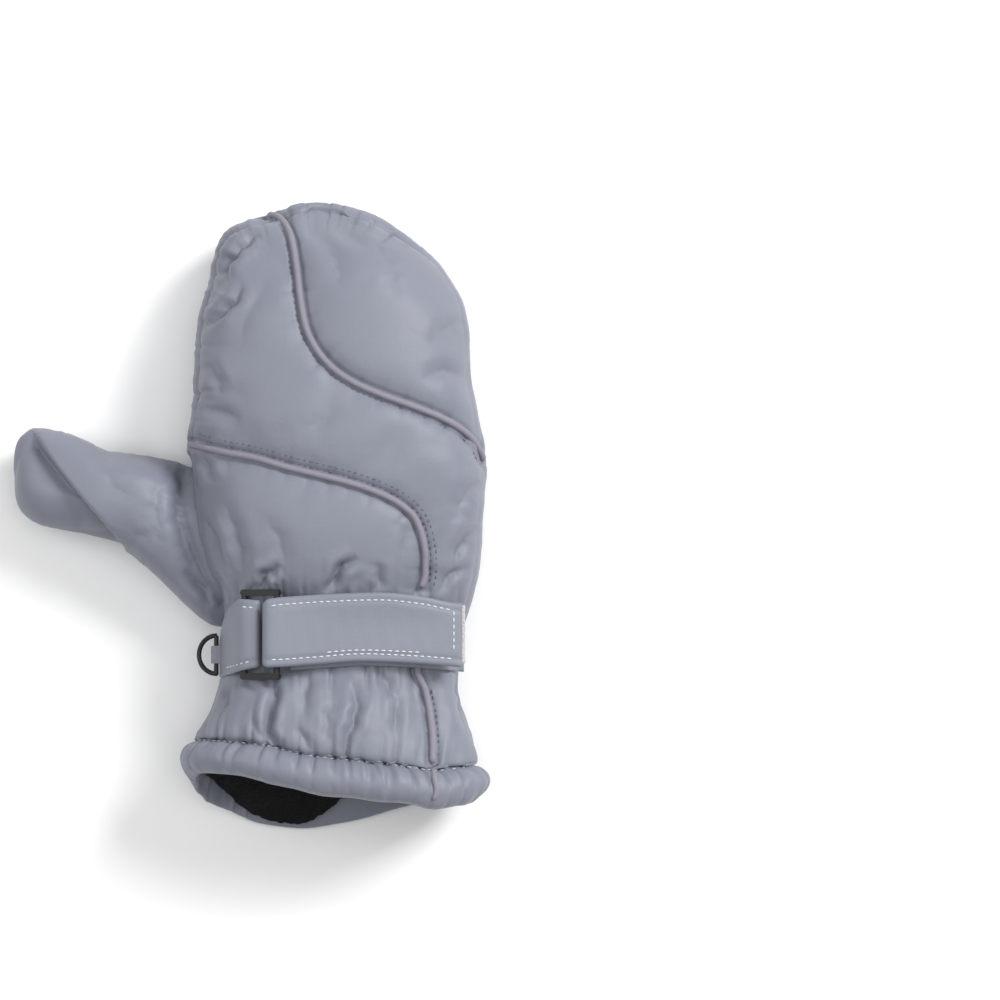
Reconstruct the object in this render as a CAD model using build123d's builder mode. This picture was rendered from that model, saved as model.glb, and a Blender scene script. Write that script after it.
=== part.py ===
from build123d import *
import math
import os

os.makedirs("parts", exist_ok=True)

# Padded ski mitten for the right hand, lying on its palm, in millimetres.
# +Y runs from the cuff to the fingertips, +Z from the palm to the back of the hand,
# and the thumb points along -X.  The origin lies on the resting face, under the palm.

# ---- driving dimensions ------------------------------------------------------
patch_thick = 1.0  # grip patch under the palm, which is what the mitten rests on
skin_thick = 1.2  # shell fabric
pad_depth = 6.5  # from the outside of the shell to the inside of the padding
lining_depth = 8.5  # from the outside of the shell to the inside of the lining
seam_height = 24.0  # the side seam between back and palm
block = 400.0  # size of the tool solids used for trimming
loop_points = 16  # corners of each cross-section

piping_width = 2.6
piping_rise = 1.3
hem_rise = 1.5
mouth_y = -135.0  # cuff mouth at the palm, on the middle line
mouth_lean = 0.17  # how far the mouth runs back per mm of height
mouth_skew = -0.06  # and per mm across

strap_top_y = -46.9
tab_top_y = -46.9
tab_bottom_y = -77.1
strap_bottom_y = -74.0
strap_end_x = 50.0
web_thick = 1.5  # strap and tab webbing
loop_tape_top = 3.0  # height above the shell
hook_tape_low = 3.4
flap_low = 4.9

ring_center = (-30.5, -62.0, 54.0)
ring_tilt = 24.0  # the ring lies on the slope of the wrist
ring_length = 36.0
ring_bar_radius = 1.3
ring_bar_half_gap = 7.2  # from the middle of the ring to each long bar
loop_clear = 0.3
loop_inner = ring_bar_radius + loop_clear
loop_outer = loop_inner + web_thick

d_bar = (-49.2, -69.6, 31.0)
d_radius = 7.65
d_wire = 0.95
d_tilt = 22.0
d_loop_wall = 0.9

thumb_cut_x = -74.0  # the thumb is stiff beyond this, and the gusset bends before it
thumb_gap = 0.4

# Outline of the hand, wrist and cuff: y, left, right, low, high
hand_sections = [
    (112, -17, 5, 15, 31),
    (106, -37, 18, 6, 40),
    (97, -49, 31, 1, 46),
    (82, -54, 45, -2, 53),
    (60, -58.4, 52.4, -3, 59),
    (18, -61, 57.5, -3, 63),
    (-22, -56, 58, -3, 60),
    (-47, -46.5, 54, -2, 56),
    (-66, -45.5, 50, -1, 53),
    (-100, -55, 54.5, -2, 62),
    (-145, -64, 62, -3, 69),
]
hand_tip_y = 112.0
hand_tip_start = 55.0  # inner layers are shortened beyond this

# Outline of the thumb: x, toward the cuff, toward the fingers, low, high
thumb_sections = [
    (-131, -10, 13, 11, 30),
    (-124, -16.5, 21.5, 5, 37),
    (-108, -20.2, 19.5, 0, 41.5),
    (-90, -25, 13.5, -1, 43.5),
    (-72, -40, 10, -2, 45),
    (-56, -54, 6.5, -2, 45),
    (-40, -52, 3, 0, 43),
]
thumb_tip_x = -131.0
thumb_tip_start = -95.0


# ---- shared forms ------------------------------------------------------------
def shrink(half, inset):
    """Half width after an inset, never reaching zero."""
    return half * half / (half + inset)


def rounded_loop(low_u, high_u, low_v, high_v, inset):
    """Points of a soft, slightly squared oval."""
    mid_u = (low_u + high_u) / 2
    mid_v = (low_v + high_v) / 2
    half_u = shrink((high_u - low_u) / 2, inset)
    half_v = shrink((high_v - low_v) / 2, inset)
    points = []
    for step in range(loop_points):
        angle = math.radians(360 / loop_points * step)
        c = math.cos(angle)
        s = math.sin(angle)
        u = math.copysign(abs(c) ** 0.82, c)
        v = math.copysign(abs(s) ** 0.82, s)
        points.append((mid_u + half_u * u, mid_v + half_v * v))
    return points


def above(height):
    """Everything above a height."""
    with BuildPart() as upper:
        with Locations((0, 0, height)):
            Box(block, block, block, align=(Align.CENTER, Align.CENTER, Align.MIN))
    return upper.part


def hand_form(inset):
    """The hand, wrist and cuff, with every face moved in by an inset."""
    pull = (hand_tip_y - hand_tip_start - inset) / (hand_tip_y - hand_tip_start)
    with BuildPart() as form:
        for y, left, right, low, high in hand_sections:
            if y > hand_tip_start:
                y = hand_tip_start + (y - hand_tip_start) * pull
            with BuildSketch(Plane.XZ.offset(-y)):
                with BuildLine():
                    Polyline(*rounded_loop(left, right, low, high, inset), close=True)
                make_face()
        loft(ruled=True)
        split(bisect_by=Plane.XY.offset(patch_thick + max(inset, 0)), keep=Keep.TOP)
    return form.part


def thumb_form(inset):
    """The thumb, with every face moved in by an inset."""
    pull = (thumb_tip_start - thumb_tip_x - inset) / (thumb_tip_start - thumb_tip_x)
    with BuildPart() as form:
        for x, low_y, high_y, low, high in thumb_sections:
            if x < thumb_tip_start:
                x = thumb_tip_start + (x - thumb_tip_start) * pull
            with BuildSketch(Plane.YZ.offset(x)):
                with BuildLine():
                    Polyline(*rounded_loop(low_y, high_y, low, high, inset), close=True)
                make_face()
        loft(ruled=True)
        split(bisect_by=Plane.XY.offset(patch_thick + inset), keep=Keep.TOP)
    return form.part


def mouth_plane(shift):
    """The slanted plane of the cuff mouth, moved toward the hand by a shift."""
    normal = Vector(-mouth_skew, 1, -mouth_lean).normalized()
    return Plane(origin=(0, mouth_y + shift, 0), x_dir=(1, mouth_skew, 0), z_dir=normal)


def region(points, low=-5.0, high=110.0):
    """An upright prism over a closed outline of straight edges."""
    with BuildPart() as prism:
        with BuildSketch(Plane.XY.offset(low)):
            with BuildLine():
                Polyline(*points, close=True)
            make_face()
        extrude(amount=high - low)
    return prism.part


def curved_region(path, corners):
    """An upright prism bounded by a smooth path and straight outer edges."""
    with BuildPart() as prism:
        with BuildSketch(Plane.XY.offset(-5)):
            with BuildLine():
                Spline(*path)
                Polyline(path[-1], *corners, path[0])
            make_face()
        extrude(amount=115)
    return prism.part


def band_along(path, width):
    """An upright wall of a given width along a smooth path."""
    with BuildPart() as wall:
        with BuildSketch(Plane.XY.offset(-5)):
            with BuildLine():
                Spline(*path)
            trace(line_width=width)
        extrude(amount=115)
    return wall.part


hand_outer = hand_form(0)
hand_skin_in = hand_form(skin_thick)
hand_elastic_in = hand_form(skin_thick + 1.4)
hand_pad_in = hand_form(pad_depth)
hand_space = hand_form(lining_depth)
thumb_outer = thumb_form(0)
thumb_skin_in = thumb_form(skin_thick)
thumb_pad_in = thumb_form(pad_depth)
thumb_space = thumb_form(lining_depth)
upper_half = above(seam_height)
mouth = mouth_plane(0)
mouth_inner = mouth_plane(1.5)
print("forms done", flush=True)

# Lines of the back, from the tip side to the outer edge
upper_path = [
    (-30, 116),
    (-21, 104),
    (-16.6, 85.6),
    (-13.5, 64),
    (-9, 52.5),
    (-1, 43.8),
    (14, 34.8),
    (34, 27.6),
    (50, 20),
    (62, 4),
]
lower_path = [
    (-70, 15.8),
    (-46, 11),
    (-20.4, 4.6),
    (5.1, -1.8),
    (22, -8.4),
    (31.5, -17),
    (35, -31),
    (33.6, -46),
    (31.6, -62),
    (33, -80),
    (37, -94.4),
    (38.4, -112),
    (38.4, -150),
]
tip_zone = curved_region(upper_path, [(90, 4), (90, 140), (-30, 140)])
wrist_zone = curved_region(lower_path, [(-90, -150), (-90, 15.8)])
hem_line = [(-70, -103), (-46, -104), (-14, -109.6), (24, -114), (44, -116), (66, -113)]
hem_zone = curved_region(hem_line, [(66, -160), (-70, -160)])


# ---- shell: back of the hand ---------------------------------------------------
with BuildPart() as back_skin:
    add(hand_outer)
    add(hand_skin_in, mode=Mode.SUBTRACT)
    add(upper_half, mode=Mode.INTERSECT)
    add(thumb_outer, mode=Mode.SUBTRACT)
    add(hem_zone, mode=Mode.SUBTRACT)

with BuildPart() as back_tip_panel:
    add(back_skin.part)
    add(tip_zone, mode=Mode.INTERSECT)

with BuildPart() as back_wrist_panel:
    add(back_skin.part)
    add(wrist_zone, mode=Mode.INTERSECT)

with BuildPart() as back_middle_panel:
    add(back_skin.part)
    add(tip_zone, mode=Mode.SUBTRACT)
    add(wrist_zone, mode=Mode.SUBTRACT)
print("back done", flush=True)

# ---- shell: palm ---------------------------------------------------------------
with BuildPart() as palm_panel:
    add(hand_outer)
    add(hand_skin_in, mode=Mode.SUBTRACT)
    add(upper_half, mode=Mode.SUBTRACT)
    add(thumb_outer, mode=Mode.SUBTRACT)
    add(hem_zone, mode=Mode.SUBTRACT)

with BuildPart() as palm_grip_patch:
    with BuildSketch(Plane.XY):
        with BuildLine():
            Spline(
                (-26, -42),
                (-33, 0),
                (-32, 50),
                (-22, 82),
                (0, 82),
                (22, 62),
                (30, 20),
                (28, -42),
            )
            Line((28, -42), (-26, -42))
        make_face()
    extrude(amount=patch_thick)

# ---- piping between the back panels --------------------------------------------
piping_form = hand_form(-piping_rise)

with BuildPart() as upper_piping:
    add(piping_form)
    add(hand_outer, mode=Mode.SUBTRACT)
    add(upper_half, mode=Mode.INTERSECT)
    add(band_along(upper_path, piping_width), mode=Mode.INTERSECT)

with BuildPart() as lower_piping:
    add(piping_form)
    add(hand_outer, mode=Mode.SUBTRACT)
    add(upper_half, mode=Mode.INTERSECT)
    add(band_along(lower_path, piping_width), mode=Mode.INTERSECT)
    add(thumb_outer, mode=Mode.SUBTRACT)
    add(hem_zone, mode=Mode.SUBTRACT)
    with Locations((31.6, (strap_top_y + strap_bottom_y) / 2 - 2, 60)):
        Box(30, strap_top_y - strap_bottom_y + 6, 60, mode=Mode.SUBTRACT)
print("piping done", flush=True)

# ---- cuff hem --------------------------------------------------------------------
with BuildPart() as hem_band:
    add(hand_form(-hem_rise))
    add(hand_skin_in, mode=Mode.SUBTRACT)
    add(hem_zone, mode=Mode.INTERSECT)
    split(bisect_by=mouth, keep=Keep.TOP)

with BuildPart() as hem_elastic:
    add(hand_skin_in)
    add(hand_elastic_in, mode=Mode.SUBTRACT)
    split(bisect_by=mouth_plane(4), keep=Keep.TOP)
    split(bisect_by=mouth_plane(10), keep=Keep.BOTTOM)

with BuildPart() as wrist_elastic:
    add(hand_skin_in)
    add(hand_elastic_in, mode=Mode.SUBTRACT)
    add(upper_half, mode=Mode.SUBTRACT)
    add(region([(-80, -76), (80, -76), (80, -64), (-80, -64)]), mode=Mode.INTERSECT)
print("cuff done", flush=True)

# ---- padding -----------------------------------------------------------------------
with BuildPart() as hand_pad:
    add(hand_skin_in)
    add(hand_pad_in, mode=Mode.SUBTRACT)
    add(thumb_outer, mode=Mode.SUBTRACT)
    add(hem_elastic.part, mode=Mode.SUBTRACT)
    add(wrist_elastic.part, mode=Mode.SUBTRACT)
    split(bisect_by=mouth_inner, keep=Keep.TOP)

with BuildPart() as back_insulation:
    add(hand_pad.part)
    add(upper_half, mode=Mode.INTERSECT)

with BuildPart() as palm_insulation:
    add(hand_pad.part)
    add(upper_half, mode=Mode.SUBTRACT)

# ---- fleece lining -------------------------------------------------------------------
with BuildPart() as hand_fleece:
    add(hand_pad_in)
    add(hand_space, mode=Mode.SUBTRACT)
    add(thumb_outer, mode=Mode.SUBTRACT)
    split(bisect_by=mouth_inner, keep=Keep.TOP)

with BuildPart() as back_lining:
    add(hand_fleece.part)
    add(upper_half, mode=Mode.INTERSECT)

with BuildPart() as palm_lining:
    add(hand_fleece.part)
    add(upper_half, mode=Mode.SUBTRACT)
print("padding done", flush=True)

# ---- thumb -------------------------------------------------------------------------
beyond_cut = region([(thumb_cut_x, -90), (-200, -90), (-200, 90), (thumb_cut_x, 90)])
before_cut = region(
    [
        (thumb_cut_x + thumb_gap, -90),
        (0, -90),
        (0, 90),
        (thumb_cut_x + thumb_gap, 90),
    ]
)
tip_fold = region([(-119, 40), (-119, 15), (-104, -6), (-86, -26), (-86, -60), (-180, -60), (-180, 40)])
thumb_seam = above(21.0)

with BuildPart() as thumb_skin:
    add(thumb_outer)
    add(thumb_skin_in, mode=Mode.SUBTRACT)
    add(beyond_cut, mode=Mode.INTERSECT)

with BuildPart() as thumb_back_panel:
    add(thumb_skin.part)
    add(thumb_seam, mode=Mode.INTERSECT)
    add(tip_fold, mode=Mode.SUBTRACT)

with BuildPart() as thumb_tip_panel:
    add(thumb_skin.part)
    add(thumb_seam, mode=Mode.INTERSECT)
    add(tip_fold, mode=Mode.INTERSECT)

with BuildPart() as thumb_palm_panel:
    add(thumb_skin.part)
    add(thumb_seam, mode=Mode.SUBTRACT)

with BuildPart() as thumb_insulation:
    add(thumb_skin_in)
    add(thumb_pad_in, mode=Mode.SUBTRACT)
    add(beyond_cut, mode=Mode.INTERSECT)

with BuildPart() as thumb_lining:
    add(thumb_pad_in)
    add(thumb_space, mode=Mode.SUBTRACT)
    add(beyond_cut, mode=Mode.INTERSECT)
print("thumb done", flush=True)

# ---- gusset joining the thumb to the hand ------------------------------------------
with BuildPart() as gusset_shell:
    add(thumb_outer)
    add(thumb_skin_in, mode=Mode.SUBTRACT)
    add(before_cut, mode=Mode.INTERSECT)
    add(hand_space, mode=Mode.SUBTRACT)

with BuildPart() as gusset_insulation:
    add(thumb_skin_in)
    add(thumb_pad_in, mode=Mode.SUBTRACT)
    add(before_cut, mode=Mode.INTERSECT)
    add(hand_space, mode=Mode.SUBTRACT)

with BuildPart() as gusset_lining:
    add(thumb_pad_in)
    add(thumb_space, mode=Mode.SUBTRACT)
    add(before_cut, mode=Mode.INTERSECT)
    add(hand_space, mode=Mode.SUBTRACT)
print("gusset done", flush=True)


# ---- wrist strap ---------------------------------------------------------------------
def wrist_layer(low, high, zone):
    """A layer lying over the wrist between two heights above the shell."""
    with BuildPart() as layer:
        add(hand_form(-high))
        if low > 0:
            add(hand_form(-low), mode=Mode.SUBTRACT)
        else:
            add(hand_outer, mode=Mode.SUBTRACT)
        add(zone, mode=Mode.INTERSECT)
    return layer.part


def on_slope(u, w):
    """A point on the ring's own slope: u across it, w off the wrist."""
    a = math.radians(ring_tilt)
    x = ring_center[0] + u * math.cos(a) - w * math.sin(a)
    z = ring_center[2] + u * math.sin(a) + w * math.cos(a)
    return (x, z)


strap_bar = on_slope(ring_bar_half_gap, 0)
tab_bar = on_slope(-ring_bar_half_gap, 0)


def web_loop(center, top_y, bottom_y):
    """A turn of webbing round one long bar of the ring."""
    with BuildPart() as turn:
        with BuildSketch(Plane.XZ.offset(-top_y)):
            with Locations(center):
                Circle(loop_outer)
                Circle(loop_inner, mode=Mode.SUBTRACT)
        extrude(amount=top_y - bottom_y)
    return turn.part


with BuildPart() as strap_lower:
    add(wrist_layer(0, web_thick, region([(-19, -47), (70, -50), (70, -77), (-19, -73.5)], seam_height)))

with BuildPart() as loop_tape:
    add(wrist_layer(web_thick, loop_tape_top, region([(0, -49), (44, -50), (44, -73), (0, -72)], 30)))

with BuildPart() as hook_tape:
    add(wrist_layer(hook_tape_low, flap_low, region([(24, -48.5), (49, -48.5), (49, -72), (24, -72)], 30)))

flap_zone = region(
    [
        (strap_bar[0], strap_top_y),
        (strap_end_x, strap_top_y),
        (strap_end_x, strap_bottom_y),
        (strap_bar[0], strap_bottom_y),
    ],
    30,
)
with BuildPart() as strap_flap:
    add(wrist_layer(flap_low, flap_low + web_thick, flap_zone))
    add(web_loop(strap_bar, strap_top_y, strap_bottom_y))
    with BuildSketch(Plane.XZ.offset(-strap_top_y)):
        with Locations(strap_bar):
            Circle(loop_inner)
    extrude(amount=strap_top_y - strap_bottom_y, mode=Mode.SUBTRACT)

tab_zone = region(
    [
        (-70, tab_top_y),
        (tab_bar[0], tab_top_y),
        (tab_bar[0], tab_bottom_y),
        (-70, tab_bottom_y),
    ],
    36,
)
with BuildPart() as anchor_tab:
    add(wrist_layer(0.0, web_thick, tab_zone))
    add(web_loop(tab_bar, tab_top_y, tab_bottom_y))
    with BuildSketch(Plane.XZ.offset(-tab_top_y)):
        with Locations(tab_bar):
            Circle(loop_inner)
    extrude(amount=tab_top_y - tab_bottom_y, mode=Mode.SUBTRACT)
    add(hand_outer, mode=Mode.SUBTRACT)
    add(thumb_outer, mode=Mode.SUBTRACT)
print("strap done", flush=True)

# ---- ring buckle -----------------------------------------------------------------------
with BuildPart() as ring_flat:
    for side in (-1, 1):
        with Locations((side * ring_bar_half_gap, 0, 0)):
            Cylinder(ring_bar_radius, ring_length - 2 * ring_bar_radius, rotation=(90, 0, 0))
    for end in (-1, 1):
        with Locations((0, end * (ring_length / 2 - ring_bar_radius), 0)):
            Box(2 * ring_bar_half_gap, 2 * ring_bar_radius, 2 * ring_bar_radius)
        for side in (-1, 1):
            with Locations((side * ring_bar_half_gap, end * (ring_length / 2 - ring_bar_radius), 0)):
                Cylinder(ring_bar_radius, 2 * ring_bar_radius)

with BuildPart() as ring_buckle:
    add(ring_flat.part.moved(Location(ring_center, (0, -ring_tilt, 0))))

# ---- D-ring and its loop -----------------------------------------------------------------
with BuildPart() as d_flat:
    with BuildLine() as d_path:
        CenterArc((0, 0), d_radius, 90, 180)
        Line((0, -d_radius), (0, d_radius))
    with BuildSketch(Plane.XZ) as d_section:
        with Locations((-d_radius, 0)):
            Circle(d_wire)
    sweep(path=d_path.wires()[0], transition=Transition.ROUND)

with BuildPart() as d_ring:
    add(d_flat.part.moved(Location(d_bar, (0, -d_tilt, 0))))

with BuildPart() as d_ring_loop:
    with BuildSketch(Plane.XZ.offset(-(d_bar[1] + 3.5))):
        with Locations((d_bar[0], d_bar[2])):
            Circle(d_wire + 0.3 + d_loop_wall)
        with Locations((d_bar[0] + 3, d_bar[2])):
            Rectangle(6, 2 * (d_wire + 0.3 + d_loop_wall))
        with Locations((d_bar[0], d_bar[2])):
            Circle(d_wire + 0.3, mode=Mode.SUBTRACT)
    extrude(amount=7)
    add(hand_outer, mode=Mode.SUBTRACT)
print("rings done", flush=True)


# ---- export ----------------------------------------------------------------------------
pieces = {
    "back_tip_panel": back_tip_panel,
    "back_middle_panel": back_middle_panel,
    "back_wrist_panel": back_wrist_panel,
    "palm_panel": palm_panel,
    "palm_grip_patch": palm_grip_patch,
    "upper_piping": upper_piping,
    "lower_piping": lower_piping,
    "hem_band": hem_band,
    "hem_elastic": hem_elastic,
    "wrist_elastic": wrist_elastic,
    "back_insulation": back_insulation,
    "palm_insulation": palm_insulation,
    "back_lining": back_lining,
    "palm_lining": palm_lining,
    "thumb_back_panel": thumb_back_panel,
    "thumb_tip_panel": thumb_tip_panel,
    "thumb_palm_panel": thumb_palm_panel,
    "thumb_insulation": thumb_insulation,
    "thumb_lining": thumb_lining,
    "gusset_shell": gusset_shell,
    "gusset_insulation": gusset_insulation,
    "gusset_lining": gusset_lining,
    "strap_lower": strap_lower,
    "loop_tape": loop_tape,
    "hook_tape": hook_tape,
    "strap_flap": strap_flap,
    "anchor_tab": anchor_tab,
    "ring_buckle": ring_buckle,
    "d_ring": d_ring,
    "d_ring_loop": d_ring_loop,
}

for name, piece in pieces.items():
    piece.part.label = name
    export_step(piece.part, f"parts/{name}.step")
    box = piece.part.bounding_box()
    print(
        name,
        len(piece.part.solids()),
        round(piece.part.volume, 1),
        [round(v, 1) for v in (*box.min, *box.max)],
    )
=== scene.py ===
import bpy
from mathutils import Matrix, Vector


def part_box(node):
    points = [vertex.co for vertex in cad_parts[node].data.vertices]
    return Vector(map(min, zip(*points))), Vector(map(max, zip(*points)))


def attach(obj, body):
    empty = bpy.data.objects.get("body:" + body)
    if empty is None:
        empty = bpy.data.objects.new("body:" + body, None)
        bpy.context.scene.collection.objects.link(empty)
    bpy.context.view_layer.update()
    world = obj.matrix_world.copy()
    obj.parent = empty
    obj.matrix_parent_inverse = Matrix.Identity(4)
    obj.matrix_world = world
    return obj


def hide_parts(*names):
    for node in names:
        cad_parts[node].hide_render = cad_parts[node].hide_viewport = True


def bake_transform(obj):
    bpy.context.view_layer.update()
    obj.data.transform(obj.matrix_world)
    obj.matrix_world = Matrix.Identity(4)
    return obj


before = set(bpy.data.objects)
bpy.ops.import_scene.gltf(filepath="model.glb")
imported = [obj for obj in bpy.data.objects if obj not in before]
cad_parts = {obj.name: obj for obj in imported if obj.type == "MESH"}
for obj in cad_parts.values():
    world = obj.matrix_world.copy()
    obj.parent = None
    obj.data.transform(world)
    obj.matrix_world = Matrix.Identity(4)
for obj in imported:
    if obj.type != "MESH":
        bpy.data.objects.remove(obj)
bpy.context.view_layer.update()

import math

import bmesh
import bpy
import numpy as np
from mathutils import Vector
from mathutils.bvhtree import BVHTree

MM = 0.001
TIP_Y = 113.5  # the fingertips
WRIST_Y = -60  # the middle of the strap, beyond which the cuff slants
CUFF_Y = -104  # the cuff's end at the hem's stitch line, before it slants
LINING_Y = -118  # the lining's end, before it slants
THUMB_TIP_X = -131.8
FLOOR_GAP = 0.9  # the soft shell stays this far above the floor
ON_FLOOR = 1.6  # lower points rest on the floor, so they are held
AROUND = 176  # points round a ring of the hand
THUMB_AROUND = 128
SIDE_SEAM_Z = 30.0
PALM_TOP_Z = 24  # the palm panel reaches this high up the sides
THUMB_SEAM_Z = 21
CLOTH_FRAMES = 20
POWER = 2.35  # roundness of the soft oval: 2 is an ellipse

# ---- outlines of the sewn shell, in millimetres --------------------------------
# left and right edges, and upper and lower faces, of the hand and cuff by Y
LEFT = [(113.5, -8), (108.8, -31), (100.8, -47.2), (90.8, -51.5), (81.6, -53.5), (72, -56.4), (58.8, -58.6),
        (43.6, -59.4), (28, -60.2), (14, -62.2), (6, -59), (-8, -58), (-24, -55.6), (-38, -51),
        (-46, -47), (-60.8, -46.3), (-78, -47.8), (-88, -51), (-102, -58), (-112, -61.5)]
RIGHT = [(113.5, -8), (108.8, 13.6), (100.8, 26.5), (90.8, 38.4), (81.6, 45.2), (72, 50), (58.8, 52.4),
         (43.6, 53.2), (28, 56), (14, 58.6), (6, 59.4), (-8, 58.4), (-24, 57.4), (-38, 56),
         (-46, 54.3), (-60.8, 50), (-78, 48.4), (-88, 51.6), (-102, 56), (-112, 58.5)]
HIGH = [(113.5, 22), (108.8, 35), (100.8, 43), (90.8, 49), (72, 55.5), (43.6, 60), (14, 61.5), (-8, 61),
        (-30, 58), (-46, 54.5), (-60, 52.5), (-74, 53), (-88, 57), (-102, 61), (-112, 63)]
LOW = [(113.5, 20), (108.8, 9), (100.8, 3), (90.8, 0), (72, -2.5), (-20, -2.5), (-46, -1.5), (-66, -0.8),
       (-100, -1.5), (-112, -2)]
# the hem's stitch line, the edge of the mouth and the end of the lining, by X
HEM_TOP = [(-62, -103.5), (-46, -104.4), (-29, -106), (-14, -109.6), (5, -112), (24, -114), (40, -116),
           (55, -114)]
HEM_PALM = [(-62, -103.5), (-50, -110), (-18, -119), (11, -118), (28, -115), (55, -114)]
MOUTH_TOP = [(-64, -116), (-54, -116.5), (-41, -117.5), (-24, -121), (-8, -125), (11, -127), (30, -129),
             (40, -130.7), (50, -129.5), (60, -124.5)]
MOUTH_PALM = [(-64, -116), (-53, -128), (-18, -138.5), (11, -134.5), (28, -129.5), (60, -124.5)]
LINING_PALM = [(-64, -112), (-52, -119), (-45, -126), (-38, -132), (-30, -136), (-18, -138), (-10, -135.5),
               (-4, -131.5), (2, -126.5), (12, -122), (60, -116)]
# the two lines of piping over the back
UPPER_PATH = [(-29.0, 108.6), (-25.5, 107.6), (-22.2, 104.5), (-19.2, 98.4), (-16.6, 85.6), (-14.8, 71.6),
              (-12.8, 61.3), (-9.6, 53.7), (-2.6, 44.8), (6.4, 38.4), (17.9, 33.3), (30.6, 28.8),
              (43.4, 23.7), (52.3, 18), (57.4, 10.8), (58.6, 7.6)]
LOWER_PATH = [(-60.4, 15.0), (-57.4, 14.1), (-46, 11), (-33.2, 8.4), (-20.4, 4.6), (-7.6, 1.4), (5.1, -1.8),
              (17.9, -6.3), (24.2, -9.6), (30.6, -15.2), (33.8, -23), (35, -30.6), (35, -37),
              (33.2, -44), (31.8, -60), (31.9, -75.9), (35, -84.2), (37, -94.4), (38, -104.6), (38, -113.5)]
# thumb: its two edges in plan and its upper and lower faces by X, its root seam and the fold of its tip
THUMB_LOWER = [(-131.8, 1), (-130.8, -7.5), (-127, -13.5), (-120, -17.5), (-105.8, -20.6), (-96, -23),
               (-87.8, -25.5), (-80, -32), (-74, -37.6), (-61.6, -49.6), (-49.6, -58), (-36, -58)]
THUMB_UPPER = [(-131.8, 5), (-130.6, 15.5), (-127.5, 20), (-122.8, 22.4), (-112, 20.8), (-100.8, 16.4),
               (-94.8, 13.4), (-85, 12), (-69.2, 9.6), (-60, 6.8), (-50, 4), (-36, 2)]
THUMB_HIGH = [(-131.8, 22), (-129, 31), (-122, 36.5), (-108, 40.5), (-90, 42.5), (-76, 41), (-62, 36.5),
              (-36, 30)]
THUMB_LOW = [(-131.8, 19), (-129, 10), (-122, 4.5), (-108, 0.5), (-90, -1), (-36, -1)]
THUMB_ROOT = [(-61.5, 10), (-61.5, -8), (-59, -24), (-54.5, -38), (-46, -51)]
TIP_FOLD = [(-125, 24), (-120, 15), (-113.8, 6), (-104.6, -5.6), (-96, -15.5), (-86.5, -26.5)]


def smooth(keys, at):
    """A smooth curve through keyed values."""
    k = np.array(sorted(keys), float)
    x, y = k[:, 0], k[:, 1]
    h, d = np.diff(x), np.diff(y) / np.diff(x)
    m = np.zeros_like(y)
    m[0], m[-1] = d[0], d[-1]
    for i in range(1, len(x) - 1):
        if d[i - 1] * d[i] > 0:
            w1, w2 = 2 * h[i] + h[i - 1], h[i] + 2 * h[i - 1]
            m[i] = (w1 + w2) / (w1 / d[i - 1] + w2 / d[i])
    at = np.clip(np.asarray(at, float), x[0], x[-1])
    i = np.clip(np.searchsorted(x, at, side="right") - 1, 0, len(x) - 2)
    t = (at - x[i]) / h[i]
    return ((2 * t**3 - 3 * t**2 + 1) * y[i] + (t**3 - 2 * t**2 + t) * h[i] * m[i]
            + (-2 * t**3 + 3 * t**2) * y[i + 1] + (t**3 - t**2) * h[i] * m[i + 1])


def by_root(keys, end):
    """Keys by the root of the distance from a rounded end, so that the end closes roundly."""
    return [(math.sqrt(abs(end - a)), b) for a, b in keys]


def hand_at(keys, s):
    """A value of the hand's outline, by the root of the distance from the fingertips."""
    return smooth(by_root(keys, TIP_Y), s)


def thumb_at(keys, s):
    """A value of the thumb's outline, by the root of the distance from the thumb's tip."""
    return smooth(by_root(keys, THUMB_TIP_X), s)


def dense(path, step=1.0):
    """A path as closely spaced points, rounded through its keys."""
    p = np.array(path, float)
    s = np.concatenate([[0], np.cumsum(np.linalg.norm(np.diff(p, axis=0), axis=1))])
    t = np.arange(0, s[-1], step)
    return np.stack([smooth(list(zip(s, p[:, 0])), t), smooth(list(zip(s, p[:, 1])), t)], 1)


def near(points, path):
    """Distance to a path, signed by side, and the length along it, for each XY point."""
    p = dense(path)
    best = np.full(len(points), 1e9)
    index = np.zeros(len(points), int)
    for i in range(0, len(points), 4000):
        d = np.linalg.norm(points[i:i + 4000, None, :2] - p[None], axis=2)
        index[i:i + 4000] = d.argmin(1)
        best[i:i + 4000] = d.min(1)
    tangent = np.gradient(p, axis=0)
    v = points[:, :2] - p[index]
    side = np.sign(tangent[index, 0] * v[:, 1] - tangent[index, 1] * v[:, 0])
    return best * side, index * 1.0


def soft_noise(n, waves, seed):
    """Smooth irregular values along a length."""
    g = np.random.default_rng(seed)
    out = np.zeros(len(n))
    for k in range(waves):
        out += g.uniform(0.4, 1) * np.sin(n * g.uniform(0.25, 1.1) + g.uniform(0, 6.28))
    return out / waves


# ---- building meshes ---------------------------------------------------------------
def new_object(name, verts, faces):
    mesh = bpy.data.meshes.new(name)
    mesh.from_pydata([tuple(v) for v in np.asarray(verts) * MM], [], faces)
    mesh.update()
    mesh.shade_smooth()
    obj = bpy.data.objects.new(name, mesh)
    bpy.context.scene.collection.objects.link(obj)
    return obj


def coords(obj):
    co = np.empty(len(obj.data.vertices) * 3)
    obj.data.vertices.foreach_get("co", co)
    return co.reshape(-1, 3) / MM


def set_coords(obj, co):
    obj.data.vertices.foreach_set("co", (np.asarray(co) * MM).ravel())
    obj.data.update()


def normals(obj):
    no = np.empty(len(obj.data.vertices) * 3)
    obj.data.vertex_normals.foreach_get("vector", no)
    return no.reshape(-1, 3)


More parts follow.
